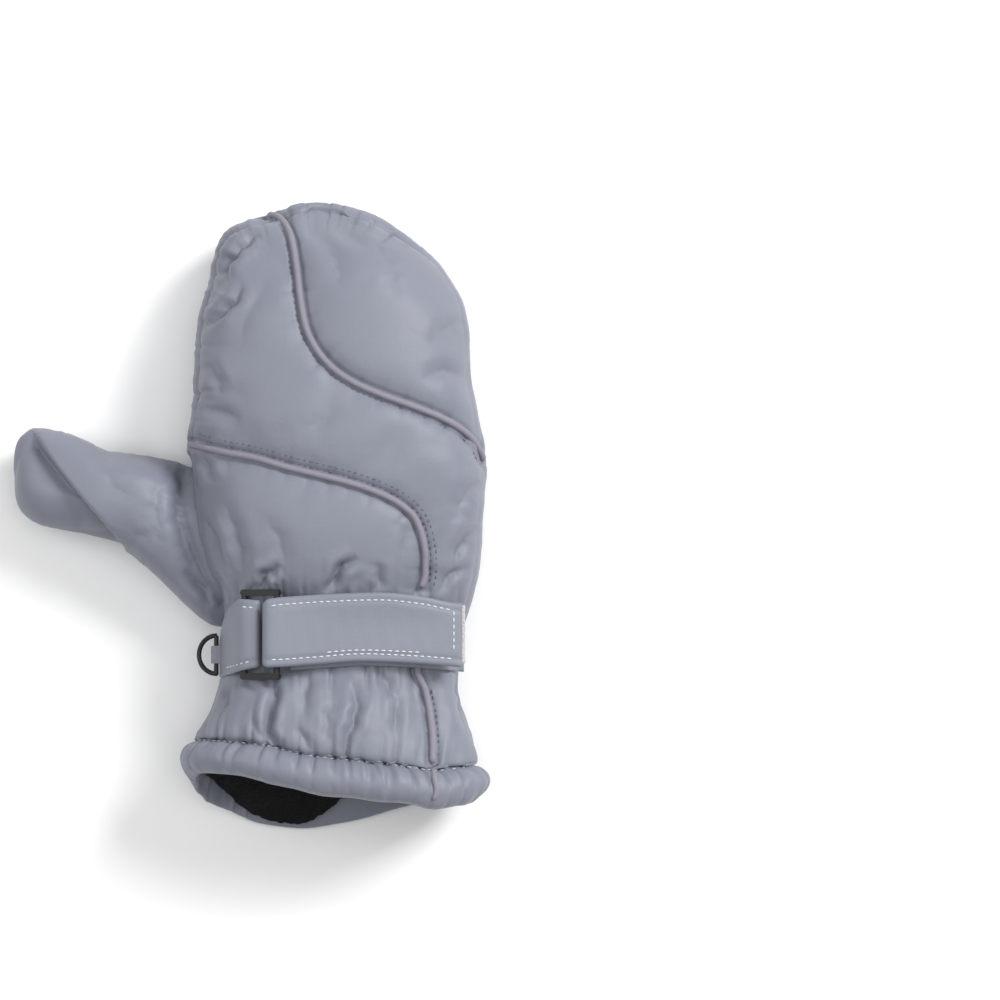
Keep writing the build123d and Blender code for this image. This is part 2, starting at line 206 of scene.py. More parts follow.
def facing_up(nrm):
    """1 where a surface faces up or sideways, falling softly to 0 where it turns under."""
    return np.clip((nrm[:, 2] + 0.28) / 0.33, 0, 1)


def off_floor(co):
    """0 near the floor and 1 above it, so that what rests on the floor keeps its shape."""
    return np.clip((co[:, 2] - 2.5) / 5, 0, 1)


def face_out(obj):
    """Turns a shell's faces outward, judged at its highest point."""
    if normals(obj)[coords(obj)[:, 2].argmax(), 2] < 0:
        obj.data.flip_normals()
        obj.data.update()
    return obj


def ring_faces(rings, around, closed_start):
    """Faces between neighbouring rings of points, with a cap on the first ring if it is closed."""
    faces = []
    for r in range(rings - 1):
        for k in range(around):
            a, b = r * around + k, r * around + (k + 1) % around
            faces.append((a, b, b + around, a + around))
    if closed_start:
        faces.append(tuple(range(around - 1, -1, -1)))
    return faces


def flat_bottom(z, floor=1.0, soft=2.2):
    """Presses a height softly onto a floor."""
    eased = soft * np.log1p(np.exp((z - floor) / soft))
    return floor + eased - soft * 0.35 * np.exp(-((z - floor) / 6) ** 2)


def oval(t):
    """Points of a soft oval of half size 1, from the left edge over the top."""
    c, s = -np.cos(t), np.sin(t)
    return np.sign(c) * np.abs(c) ** (2 / POWER), np.sign(s) * np.abs(s) ** (2 / POWER)


def even_angles(count):
    """Angles that step evenly round the soft oval."""
    t = np.linspace(0, 2 * np.pi, 8001)
    u = np.abs(np.cos(t)) ** (2 / POWER) * np.sign(-np.cos(t))
    v = np.abs(np.sin(t)) ** (2 / POWER) * np.sign(np.sin(t))
    length = np.concatenate([[0], np.cumsum(np.hypot(58 * np.diff(u), 31 * np.diff(v)))])
    return np.interp(np.arange(count) / count * length[-1], length, t)


def side_bulge(x, y):
    """The wrist is fuller on the thumb side, where the ring lies on it."""
    return 5.0 * np.exp(-((x + 36) / 9) ** 2 - ((y + 60) / 17) ** 2)


def section(left, right, low, high):
    """A ring of points of the soft oval between four edges."""
    t = even_angles(AROUND)
    u, v = oval(t)
    return (left + right) / 2 + (right - left) / 2 * u, (low + high) / 2 + (high - low) / 2 * v, t


def shifted(keys, by):
    return [(x, y + by) for x, y in keys]


def hem_line(x, t, top_keys, palm_keys):
    """Y of a line round the cuff, from its run over the back and its run under the palm."""
    up = smooth(top_keys, x)
    down = smooth(palm_keys, x)
    w = np.clip(0.5 - np.sin(t) * 1.6, 0, 1)
    w = w * w * (3 - 2 * w)
    return up * (1 - w) + down * w


def slanted(y, x, t, end, top_keys, palm_keys):
    """Y of a ring's points: straight across the hand, and slanting towards an edge below the wrist."""
    if y >= WRIST_Y:
        return np.full(len(x), float(y))
    stop = hem_line(x, t, top_keys, palm_keys)
    return WRIST_Y + (y - WRIST_Y) / (end - WRIST_Y) * (stop - WRIST_Y)


def hand_shell():
    """The rings of the shell, close together at the fingertips, and turned in at the cuff's end."""
    q = list(np.arange(0.35, 3.9, 0.2)) + [math.sqrt(TIP_Y - y) for y in np.arange(98, CUFF_Y - 0.1, -1.82)]
    q[-1] = math.sqrt(TIP_Y - CUFF_Y)
    rings = []
    for s in q:
        x, z, t = section(hand_at(LEFT, s), hand_at(RIGHT, s), hand_at(LOW, s), hand_at(HIGH, s))
        yy = slanted(TIP_Y - s * s, x, t, CUFF_Y, HEM_TOP, HEM_PALM)
        rings.append(np.stack([x, yy, flat_bottom(z)], 1))
    for inset, on in ((0.9, 0.5), (2.2, 1.0), (4.0, 1.1)):
        x, z, t = cuff_end(inset, AROUND)
        rings.append(np.stack([x, hem_line(x, t, HEM_TOP, HEM_PALM) - on, flat_bottom(z)], 1))
    return np.concatenate(rings), ring_faces(len(rings), AROUND, True)


def cuff_end(inset, around):
    """The oval of the cuff at the hem's stitch line, drawn in by an inset."""
    s = math.sqrt(TIP_Y - CUFF_Y)
    left, right = hand_at(LEFT, s) + inset, hand_at(RIGHT, s) - inset
    low, high = hand_at(LOW, s) + inset, hand_at(HIGH, s) - inset
    t = even_angles(around)
    u, v = oval(t)
    return (left + right) / 2 + (right - left) / 2 * u, (low + high) / 2 + (high - low) / 2 * v, t


def cloth(obj, pins, around, pressure, excess, cap, bending, even):
    """Blows the shell up as sewn fabric between its held seams, and keeps the result as the mesh."""
    start = coords(obj)
    group = obj.vertex_groups.new(name="pin")
    for level in np.unique(np.round(pins, 1)):
        if level > 0:
            group.add(np.nonzero(np.round(pins, 1) == level)[0].tolist(), float(level), "REPLACE")
    m = obj.modifiers.new("cloth", "CLOTH")
    c = m.settings
    c.quality = 6
    c.mass = 0.15
    c.tension_stiffness = c.compression_stiffness = 12
    c.shear_stiffness = 5
    c.bending_stiffness = bending
    c.tension_damping = c.compression_damping = c.shear_damping = 8
    c.bending_damping = 0.5
    c.air_damping = 2
    c.use_pressure = True
    c.uniform_pressure_force = pressure
    c.shrink_min = -excess
    c.vertex_group_mass = "pin"
    c.effector_weights.gravity = 0
    m.collision_settings.use_collision = False
    m.collision_settings.use_self_collision = False
    m.point_cache.frame_start, m.point_cache.frame_end = 1, CLOTH_FRAMES
    scene = bpy.context.scene
    scene.frame_start, scene.frame_end = 1, CLOTH_FRAMES
    for f in range(1, CLOTH_FRAMES + 1):
        scene.frame_set(f)
        dg = bpy.context.evaluated_depsgraph_get()
        dg.update()
    done = obj.evaluated_get(dg)
    co = np.empty(len(done.data.vertices) * 3)
    done.data.vertices.foreach_get("co", co)
    co = co.reshape(-1, 3) / MM
    obj.modifiers.clear()
    obj.vertex_groups.clear()
    scene.frame_set(1)
    # the movement is evened out between neighbours, and no point goes further than the cap
    grid = (co - start).reshape(-1, around, 3)
    loose = (1 - np.clip(pins, 0, 1)).reshape(-1, around, 1)
    for _ in range(even):
        up, down = np.concatenate([grid[:1], grid[:-1]]), np.concatenate([grid[1:], grid[-1:]])
        grid = (0.4 * grid + 0.15 * (up + down + np.roll(grid, 1, 1) + np.roll(grid, -1, 1))) * loose
    move = grid.reshape(-1, 3)
    size = np.maximum(np.linalg.norm(move, axis=1, keepdims=True), 1e-6)
    move *= cap * np.tanh(size / cap) / size
    set_coords(obj, start + move)
    return coords(obj)


def apply_modifiers(obj):
    mesh = bpy.data.meshes.new_from_object(obj.evaluated_get(bpy.context.evaluated_depsgraph_get()))
    obj.modifiers.clear()
    obj.data = mesh


def refine(obj):
    m = obj.modifiers.new("refine", "SUBSURF")
    m.levels = m.render_levels = 1
    apply_modifiers(obj)
    obj.data.shade_smooth()


def groove(co, path, depth, width):
    """A crease: a soft groove with a low ridge on each side, fading at its ends."""
    d, along = near(co, path)
    length = along.max()
    fade = np.clip(np.minimum(along, length - along) / (0.4 * length), 0, 1) ** 0.8
    d = np.abs(d + 0.5 * width * soft_noise(along, 3, int(abs(path[0][0]) * 7)))
    pinch = np.exp(-(d / (0.8 * width)) ** 1.25)
    ridge = 0.35 * np.exp(-((d - 2.2 * width) / (1.3 * width)) ** 2)
    return -1.5 * depth * fade * (pinch - ridge)


def gathers(d, along, depth, reach, pitch, seed):
    """Short puckers that run off a seam, by the distance from it and the length along it."""
    wave = 1 - np.abs(np.sin(np.pi * along / pitch + 1.6 * soft_noise(along, 4, seed))) ** 0.8
    strength = 0.55 + 0.6 * soft_noise(along * 0.35, 4, seed + 1)
    return -1.6 * depth * wave * np.clip(strength, 0.08, 1.2) * np.exp(-(np.abs(d) / reach) ** 1.5)


# ---- the hand and cuff, sewn, padded and creased --------------------------------------
verts, faces = hand_shell()
shell = face_out(new_object("shell_work", verts, faces))
co = coords(shell)
ring = np.arange(len(co)) // AROUND
top = np.sin(np.tile(even_angles(AROUND), len(co) // AROUND)) > 0.02
d_up, _ = near(co, UPPER_PATH)
d_low, _ = near(co, LOWER_PATH)
column = np.arange(len(co)) % AROUND
seam_edge = (column == 0) | (column == AROUND // 2)
# the seams under the piping lie lower than the padding beside them
push = -1.6 * top * (np.exp(-(d_up / 5) ** 2) + np.exp(-(d_low / 5) ** 2))
co = co + normals(shell) * push[:, None]
co[:, 2] += top * side_bulge(co[:, 0], co[:, 1])
set_coords(shell, co)

pins = np.zeros(len(co))
pins[top & ((np.abs(d_up) < 1.7) | (np.abs(d_low) < 1.7))] = 1
pins[seam_edge] = 1
pins[ring > ring.max() - 4] = 1
pins[(co[:, 1] < -48) & (co[:, 1] > -73) & top] = 1
pins[co[:, 2] < ON_FLOOR] = 1
pins[ring < 2] = 1
co = cloth(shell, pins, AROUND, pressure=4.0, excess=0.035, cap=4.5, bending=0.1, even=10)
co[:, 2] = np.maximum(co[:, 2], FLOOR_GAP)
set_coords(shell, co)
refine(shell)
co = coords(shell)
nrm = normals(shell)
top = facing_up(nrm)
d_up, a_up = near(co, UPPER_PATH)
d_low, a_low = near(co, LOWER_PATH)
hem_y = hem_line(co[:, 0], np.where(nrm[:, 2] > 0, 1.57, -1.57), HEM_TOP, HEM_PALM)
cuff_x = np.sign(nrm[:, 2] + 0.01) * co[:, 0]
push = np.zeros(len(co))
push += top * gathers(d_up, a_up, 0.75, 5.5, 9.5, 11)
push += top * gathers(d_low, a_low, 0.75, 5.5, 8.5, 21)
push += gathers(co[:, 1] - hem_y, cuff_x * 1.12 + co[:, 2] * 0.4, 2.0, 9.0, 7.2, 31)
push += top * gathers(co[:, 1] + 46, co[:, 0], 1.3, 7.0, 12.0, 41) * (co[:, 1] > -50)
push += top * gathers(co[:, 1] + 75, co[:, 0], 1.6, 9.0, 13.0, 51) * (co[:, 1] < -68)
# the seam round the fingertips, just inside the outline, and gathers down both sides
outline = [(x, y) for y, x in sorted(LEFT)[:-1] + sorted(RIGHT, reverse=True)]
from_edge, round_edge = near(co, outline)
from_edge = np.abs(from_edge)
upper_half = np.clip((co[:, 1] - 14) / 8, 0, 1)
low_half = (1 - upper_half) * np.clip((co[:, 1] + 100) / 10, 0, 1)
seam_at = 1.6 + 1.4 * np.clip((co[:, 1] - 92) / 14, 0, 1)
thumb_side = np.clip((-co[:, 0] - 10) / 20, 0, 1)
tip_side_weight = np.clip((co[:, 1] - 86) / 14, 0, 1)
seamed = upper_half * np.maximum(np.maximum(thumb_side, tip_side_weight), 0.12)
push += top * gathers(from_edge - seam_at - 1.5, round_edge, 1.15, 7.5, 9.5, 61) * seamed
push += top * gathers(from_edge - seam_at - 1.5, round_edge, 0.35, 6.0, 12.5, 71) * low_half
push -= top * 3.0 * np.exp(-(np.abs(from_edge - seam_at) / 1.0) ** 1.5) * seamed
push -= top * 0.5 * np.exp(-(np.abs(from_edge - seam_at) / 1.1) ** 1.5) * low_half
# narrow gaps right beside the piping, but not under the strap
clear_of_strap = (co[:, 1] > -46) | (co[:, 1] < -74)
push -= top * 0.8 * np.exp(-((np.abs(d_up) - 1.7) / 0.8) ** 2)
push -= top * 0.8 * np.exp(-((np.abs(d_low) - 1.7) / 0.8) ** 2) * clear_of_strap
# the cuff turns in steeply at the hem's stitch line
push -= 1.2 * np.exp(-(np.abs(co[:, 1] - hem_y) / 1.5) ** 1.4)
CREASES = [  # each crease's path, depth and width
    ([(-31, 99), (-38, 95), (-45, 88), (-52, 81)], 2.3, 1.9),
    ([(-38, 79), (-41, 72), (-48, 66), (-55, 61)], 2.2, 1.8),
    ([(-42, 92), (-45, 84), (-44, 77)], 1.0, 2.2), ([(-53, 47), (-49, 42), (-46, 33)], 1.1, 2.2),
    ([(-27, 80), (-36, 66), (-40, 52)], 0.6, 3.4), ([(-54, 30), (-46, 26), (-38, 24)], 0.9, 2.4),
    ([(12, 98), (21, 86), (25, 72)], 0.6, 3.4), ([(50, 66), (43, 60), (36, 52)], 0.8, 2.8),
    ([(52, 42), (43, 43), (33, 40)], 0.9, 2.6), ([(-4, 94), (0, 84), (1, 74)], 0.5, 3.2),
    ([(57, 0), (50, -8), (47, -18)], 1.0, 2.6), ([(56, -18), (49, -28), (45, -40)], 1.5, 2.2),
    ([(52, -34), (46, -38), (40, -46)], 1.4, 1.8), ([(8, -31), (3, -35), (-1, -40), (-5, -47)], 2.6, 1.8),
    ([(-22, -35), (-28, -38), (-33, -47)], 2.4, 1.8), ([(15, -33), (17, -39), (15, -47)], 1.4, 2.0),
    ([(-46, -8), (-41, -20), (-38, -34), (-37, -46)], 1.2, 2.6),
    ([(-28, -14), (-23, -26), (-20, -38)], 0.6, 3.2),
    ([(-54, -14), (-49, -26), (-44, -40)], 1.7, 2.0), ([(25, -16), (27, -26), (26, -38)], 0.7, 2.4),
    ([(-55, 11), (-52, 3), (-50, -3)], 1.3, 2.0), ([(-16, 14), (-8, 22), (4, 27)], 0.5, 3.2),
    ([(-28, -76), (-25, -84), (-27, -97), (-25, -106), (-20, -112)], 3.1, 1.8),
    ([(6, -80), (8, -89), (5, -102), (3, -112)], 2.0, 1.9), ([(-11, -76), (-13, -88), (-12, -97)], 1.1, 2.3),
    ([(17, -76), (21, -84), (24, -88)], 1.3, 1.9), ([(-42, -78), (-45, -87), (-48, -95)], 1.2, 2.2),
    ([(47, -78), (50, -90), (51, -103)], 1.1, 2.0), ([(24, -84), (24, -93), (22, -103)], 1.2, 1.8),
    ([(-2, -88), (-4, -97), (-3, -107)], 0.8, 1.8), ([(-34, -92), (-31, -101), (-27, -108)], 1.3, 1.8),
    ([(-16, -98), (-13, -104), (-9, -110)], 1.2, 1.7), ([(-38, -78), (-35, -82), (-32, -86)], 1.0, 1.8),
]
for path, depth, width in CREASES:
    push += top * groove(co, path, depth, width)
# the wadding is pressed down under the ring, where the strap turns round it
push -= 2.4 * top * np.exp(-((co[:, 0] + 20) / 8) ** 2 - ((co[:, 1] + 61) / 15) ** 4)
co = co + nrm * (push * off_floor(co))[:, None]
co[:, 2] = np.maximum(co[:, 2], FLOOR_GAP)
set_coords(shell, co)
bpy.context.view_layer.update()


def surface_of(*objs):
    """A tree of the surfaces, for laying things on them."""
    v, p = [], []
    for o in objs:
        base = len(v)
        v += [vert.co.copy() for vert in o.data.vertices]
        p += [[base + i for i in poly.vertices] for poly in o.data.polygons]
    return BVHTree.FromPolygons(v, p)


def drop(tree, x, y):
    """The height of a surface under a point, in millimetres, or that of the side seam beyond its edge."""
    hit = tree.ray_cast(Vector((x * MM, y * MM, 0.2)), Vector((0, 0, -1)))[0]
    return SIDE_SEAM_Z if hit is None else hit.z / MM


shell_tree = surface_of(shell)


# ---- the hem roll of the cuff -------------------------------------------------------------
def hem_roll():
    """The gathered roll of the hem, from inside the shell's end round the mouth and back in."""
    n = AROUND * 3
    start_x, start_z, t = cuff_end(0, n)
    w_out = np.linspace(0, 1, 21)
    steps = [-0.12, -0.05] + list(w_out) + [1.03, 1.05, 1.04, 1.0, 0.9, 0.78, 0.64, 0.5]
    arch = [4.6 * math.sin(math.pi * w ** 0.8) ** 0.62 - 1.8 * (1 - w) - 0.6 * w for w in w_out]
    lift = [-3.4, -2.6] + arch
    lift_back = lift + [-1.6, -2.8, -4.0, -5.0, -5.8, -6.4, -6.8, -7.2]
    lift_palm = lift + [-1.4, -2.2, -2.8, -3.2, -3.4, -3.5, -3.6, -3.7]
    under = np.clip(0.5 - np.sin(t) * 1.6, 0, 1)
    u, v = oval(t)
    arc = np.cumsum(np.hypot(np.gradient(start_x), np.gradient(start_z)))
    pinch = 1 - np.abs(np.sin(np.pi * arc / 7.4 + 1.7 * soft_noise(arc, 4, 91))) ** 0.8
    reach = 0.42 + 0.33 * soft_noise(arc, 5, 93)
    slow = soft_noise(arc * 0.3, 4, 95)
    rings = []
    for i, w in enumerate(steps):
        o = lift_back[i] * (1 - under) + lift_palm[i] * under
        wide = min(max(w, 0), 1)
        half_x = (start_x.max() - start_x.min()) / 2 + 2.6 * wide
        half_z = (start_z.max() - start_z.min()) / 2 + 1.0 * wide
        x = (start_x.max() + start_x.min()) / 2 - 0.3 * wide + (half_x + o) * u
        z = (start_z.max() + start_z.min()) / 2 + 0.6 * wide + (half_z + o) * v
        y0 = hem_line(x, t, HEM_TOP, HEM_PALM)
        y1 = hem_line(x, t, MOUTH_TOP, MOUTH_PALM)
        deep = 3.0 * np.exp(-(wide / np.clip(reach, 0.15, 0.9)) ** 2)
        deep = deep + 0.9 * math.exp(-((w - 1.0) / 0.22) ** 2)
        x = x - deep * pinch * u
        z = z - deep * pinch * v
        y = y0 + (y1 - y0) * w + slow * 0.9 * wide
        floor_z = 1.2 if w < 1.02 and i < 24 else 3.0 + 0.2 * (i - 23)
        rings.append(np.stack([x, y, flat_bottom(z, floor_z)], 1))
    return np.concatenate(rings), ring_faces(len(steps), n, False)


def hem_cord():
    """The flat elastic inside the hem, midway down it."""
    n = AROUND
    start_x, start_z, t = cuff_end(0, n)
    rings = []
    profile = (0.35, 0.2), (0.5, 0.4), (0.65, 0.2), (0.65, -0.5), (0.5, -0.4), (0.35, -0.5), (0.35, 0.2)
    for w, o in profile:
        mid_x, mid_z = (start_x.max() + start_x.min()) / 2, (start_z.max() + start_z.min()) / 2
        grow_x = 1 + (o - 1.0) / (start_x.max() - mid_x)
        grow_z = 1 + (o - 1.0) / (start_z.max() - mid_z)
        x = mid_x + (start_x - mid_x) * grow_x
        z = mid_z + (start_z - mid_z) * grow_z
        y0, y1 = hem_line(x, t, HEM_TOP, HEM_PALM), hem_line(x, t, MOUTH_TOP, MOUTH_PALM)
        rings.append(np.stack([x, y0 + (y1 - y0) * w, flat_bottom(z, 2.6)], 1))
    return np.concatenate(rings), ring_faces(len(rings), n, False)


def wrist_band():
    """The flat elastic across the palm side of the wrist, between shell and wadding."""
    inset = 3.5
    verts = []
    for y in (-58.0, -62.0, -66.0, -70.0):
        s = math.sqrt(TIP_Y - y)
        x, z, _ = section(hand_at(LEFT, s) + inset, hand_at(RIGHT, s) - inset, 3.0, hand_at(HIGH, s) - inset)
        half = AROUND // 2
        keep = [(half + k) % AROUND for k in range(4, half - 3)]
        verts += [(x[k], y, z[k]) for k in keep]
    n = len(keep)
    faces = [(a, a + 1, a + n + 1, a + n) for r in range(3) for a in range(r * n, r * n + n - 1)]
    obj = new_object("elastic_at_wrist", verts, faces)
    thick = obj.modifiers.new("thick", "SOLIDIFY")
    thick.thickness = 0.8 * MM
    apply_modifiers(obj)
    return obj


wrist_cord = wrist_band()
verts, faces = hem_cord()
cord = new_object("elastic_in_hem", verts, faces)
verts, faces = hem_roll()
hem = face_out(new_object("hem_band", verts, faces))


# ---- the fleece lining --------------------------------------------------------------------
def lining_form(inset, ends, at_mouth, fuzz):
    """The inside of the hand as a closed bag, from the mouth to near the fingertips."""
    rings = []
    g = np.random.default_rng(5)
    for y in ends:
        s = math.sqrt(max(TIP_Y - y - inset, 0.1))
        near_mouth = np.clip((-y - 96) / 20, 0, 1)
        gap = inset * (1 - near_mouth) + at_mouth * near_mouth
        low = max(hand_at(LOW, s), 1) + gap
        x, z, t = section(hand_at(LEFT, s) + gap, hand_at(RIGHT, s) - gap, low, hand_at(HIGH, s) - gap)
        yy = slanted(y, x, t, LINING_Y, shifted(MOUTH_TOP, 5), LINING_PALM)
        rings.append(np.stack([x, yy, z], 1) + g.normal(0, fuzz, (AROUND, 3)))
    return np.concatenate(rings), ring_faces(len(ends), AROUND, True)


verts, faces = lining_form(9.5, list(np.arange(98, -117.1, -2.4)) + [LINING_Y], 5.6, 0.3)
lining = face_out(new_object("lining_work", verts, faces))
lining.data.flip_normals()
verts, faces = lining_form(7.5, list(np.arange(98, -96.1, -6.0)), 7.5, 0)
wadding = face_out(new_object("wadding_work", verts, faces))


def split(work, name, keep):
    """A new object from the faces of another whose middles pass a test."""
    mesh = work.data
    mid = np.empty(len(mesh.polygons) * 3)
    mesh.polygons.foreach_get("center", mid)
    chosen = set(np.nonzero(~keep(mid.reshape(-1, 3) / MM))[0].tolist())
    bm = bmesh.new()
    bm.from_mesh(mesh)
    bm.faces.ensure_lookup_table()
    bmesh.ops.delete(bm, geom=[bm.faces[i] for i in chosen], context="FACES")
    part = bpy.data.meshes.new(name)
    bm.to_mesh(part)
    bm.free()
    part.shade_smooth()
    obj = bpy.data.objects.new(name, part)
    bpy.context.scene.collection.objects.link(obj)
    return obj


def tip_side(mid):
    """Beyond the upper piping, towards the fingertips."""
    return (near(mid, UPPER_PATH)[0] > 0) & ~((mid[:, 1] < 4) | (mid[:, 0] < -31))


def wrist_side(mid):
    """Between the lower piping and the thumb."""
    return (near(mid, LOWER_PATH)[0] < 0) | (mid[:, 0] < -62) & (mid[:, 1] < 15)


def is_top(mid):
    return mid[:, 2] > PALM_TOP_Z


panels = {
    "back_tip_panel": split(shell, "tip_panel", lambda m: is_top(m) & tip_side(m)),
    "back_wrist_panel": split(shell, "wrist_panel", lambda m: is_top(m) & wrist_side(m) & ~tip_side(m)),
    "back_middle_panel": split(shell, "middle_panel", lambda m: is_top(m) & ~wrist_side(m) & ~tip_side(m)),
    "palm_panel": split(shell, "palm_panel_soft", lambda m: ~is_top(m)),
    "back_lining": split(lining, "fleece_back", is_top),
    "palm_lining": split(lining, "fleece_palm", lambda m: ~is_top(m)),
    "back_insulation": split(wadding, "wadding_back", is_top),
    "palm_insulation": split(wadding, "wadding_palm", lambda m: ~is_top(m)),
    "hem_band": hem,
}
for o in (lining, wadding):
    bpy.data.objects.remove(o)


# ---- the thumb -------------------------------------------------------------------------------
def thumb_rings(inset, root_x, around):
    """The rings of the thumb, from its tip to its root, drawn in by an inset."""
    q = list(np.arange(0.3, 3.4, 0.26)) + [math.sqrt(x - THUMB_TIP_X) for x in np.arange(-120, root_x, 1.7)]
    rings = []
    # the angles step evenly within each eighth of the oval
    eighths = np.linspace(0, 1, 9)
    turn = np.append(even_angles(AROUND), 2 * np.pi)
    corner = np.interp(eighths, np.arange(AROUND + 1) / AROUND, turn)
    u, v = oval(np.interp(np.arange(around) / around, eighths, corner))
    for s in q:
        x = THUMB_TIP_X + s * s
        low_y, high_y = thumb_at(THUMB_LOWER, s), thumb_at(THUMB_UPPER, s)
        low, high = thumb_at(THUMB_LOW, s), thumb_at(THUMB_HIGH, s)
        half = max((high_y - low_y) / 2 - inset, 0.4)
        tall = max((high - low) / 2 - inset, 0.4)
        y = (low_y + high_y) / 2 + half * u
        z = (low + high) / 2 + tall * v
        rings.append(np.stack([np.full(around, x + inset * (s < 5)), y, flat_bottom(z, 1.0 + inset)], 1))
    return np.concatenate(rings), ring_faces(len(q), around, True)


verts, faces = thumb_rings(0, -38, THUMB_AROUND)
thumb = face_out(new_object("thumb_work", verts, faces))
co = coords(thumb)
column = np.arange(len(co)) % THUMB_AROUND
side_column = (column == 0) | (column == THUMB_AROUND // 2)
ring = np.arange(len(co)) // THUMB_AROUND
d_fold, _ = near(co, TIP_FOLD)
pins = np.zeros(len(co))
pins[side_column | (ring < 2) | (ring > ring.max() - 2) | (co[:, 2] < ON_FLOOR)] = 1
pins[(np.abs(d_fold) < 1.6) & (normals(thumb)[:, 2] > 0)] = 1
co = cloth(thumb, pins, THUMB_AROUND, pressure=3.5, excess=0.025, cap=3.0, bending=0.2, even=30)
co[:, 2] = np.maximum(co[:, 2], FLOOR_GAP)
set_coords(thumb, co)
refine(thumb)
co = coords(thumb)
nrm = normals(thumb)
top = facing_up(nrm)
d_root, _ = near(co, THUMB_ROOT)
d_fold, _ = near(co, TIP_FOLD)
# the back panel of the thumb laps over the tip panel with a step
main = 0.5 + 0.5 * np.tanh(d_fold / 0.8)
step = main * 1.6 * np.exp(-np.abs(d_fold) / 10) - (1 - main) * 6.5 * np.exp(-np.abs(d_fold) / 8)
below_top = smooth(THUMB_UPPER, co[:, 0]) - co[:, 1]
push = top * step * np.clip((co[:, 2] - 14) / 12, 0, 1) * np.clip((below_top - 1) / 6, 0, 1)
push -= top * 5.0 * np.exp(-np.abs(d_root) / 4.5) * np.clip((co[:, 2] - 20) / 8, 0, 1)
push += top * gathers(co[:, 1] - smooth(THUMB_UPPER, co[:, 0]) + 2.0, co[:, 0], 0.45, 5.5, 12.0, 101)
push += top * gathers(co[:, 1] - smooth(THUMB_LOWER, co[:, 0]) - 2.0, co[:, 0], 0.35, 5.0, 13.0, 111)
for path, depth, width in [
    ([(-67, 6), (-73, -8), (-72, -26)], 0.8, 3.6), ([(-62, -36), (-56, -44), (-50, -52)], 1.8, 2.2),
    ([(-61, 5), (-64, -10), (-62, -26), (-58, -40)], 1.5, 2.6),
    ([(-76, -20), (-82, -24), (-86, -27)], 0.5, 3.0),
    ([(-96, 8), (-90, -2), (-80, -8)], 0.45, 4.0),
]:
    push += top * groove(co, path, depth, width)
co = co + nrm * (push * off_floor(co))[:, None]
co[:, 2] = np.maximum(co[:, 2], FLOOR_GAP)
set_coords(thumb, co)
bpy.context.view_layer.update()


def tip_of_thumb(mid):
    return near(mid, TIP_FOLD)[0] < 0


def thumb_top(mid):
    return mid[:, 2] > THUMB_SEAM_Z


panels["thumb_tip_panel"] = split(thumb, "thumb_tip_soft", lambda m: thumb_top(m) & tip_of_thumb(m))
panels["thumb_back_panel"] = split(thumb, "thumb_back_soft", lambda m: thumb_top(m) & ~tip_of_thumb(m))
panels["thumb_palm_panel"] = split(thumb, "thumb_palm_soft", lambda m: ~thumb_top(m))
verts, faces = thumb_rings(8.5, -52, 48)
panels["thumb_insulation"] = face_out(new_object("thumb_wadding", verts, faces))
verts, faces = thumb_rings(10.5, -52, 48)
panels["thumb_lining"] = face_out(new_object("thumb_fleece", verts, faces))


# ---- piping and threads ------------------------------------------------------------------------
def tangents(p):
    tangent = np.gradient(p, axis=0)
    return tangent / np.linalg.norm(tangent, axis=1, keepdims=True)


def tube(name, points, radius):
    """A round cord along points, with closed ends."""
    sides = 10
    p = np.array(points, float)
    tangent = tangents(p)
    side = np.cross(tangent, (0, 0, 1.0))
    side /= np.maximum(np.linalg.norm(side, axis=1, keepdims=True), 1e-6)
    lift = np.cross(side, tangent)
    rings = []
    for i in range(len(p)):
        r = radius * (0.35 if i in (0, len(p) - 1) else 1)
        a = np.arange(sides) / sides * 2 * np.pi
        rings.append(p[i] + r * (np.cos(a)[:, None] * side[i] + np.sin(a)[:, None] * lift[i]))
    faces = ring_faces(len(p), sides, True)
    last = (len(p) - 1) * sides
    faces.append(tuple(range(last, last + sides)))
    return new_object(name, np.concatenate(rings), faces)


def laid_path(tree, path, rise, step=1.0, even=5):
    """A path laid on a surface, a little above it, with the height evened out."""
    p = dense(path, step)
    z = np.array([drop(tree, x, y) for x, y in p])
    pad = np.pad(z, even, mode="edge")
    z = np.convolve(pad, np.ones(2 * even + 1) / (2 * even + 1), "valid")
    return np.column_stack([p, z + rise])


def beside(path, offset):
    """A path along another, at a distance to its left."""
    p = dense(path, 2.0)
    tangent = tangents(p)
    return np.stack([p[:, 0] - tangent[:, 1] * offset, p[:, 1] + tangent[:, 0] * offset], 1)


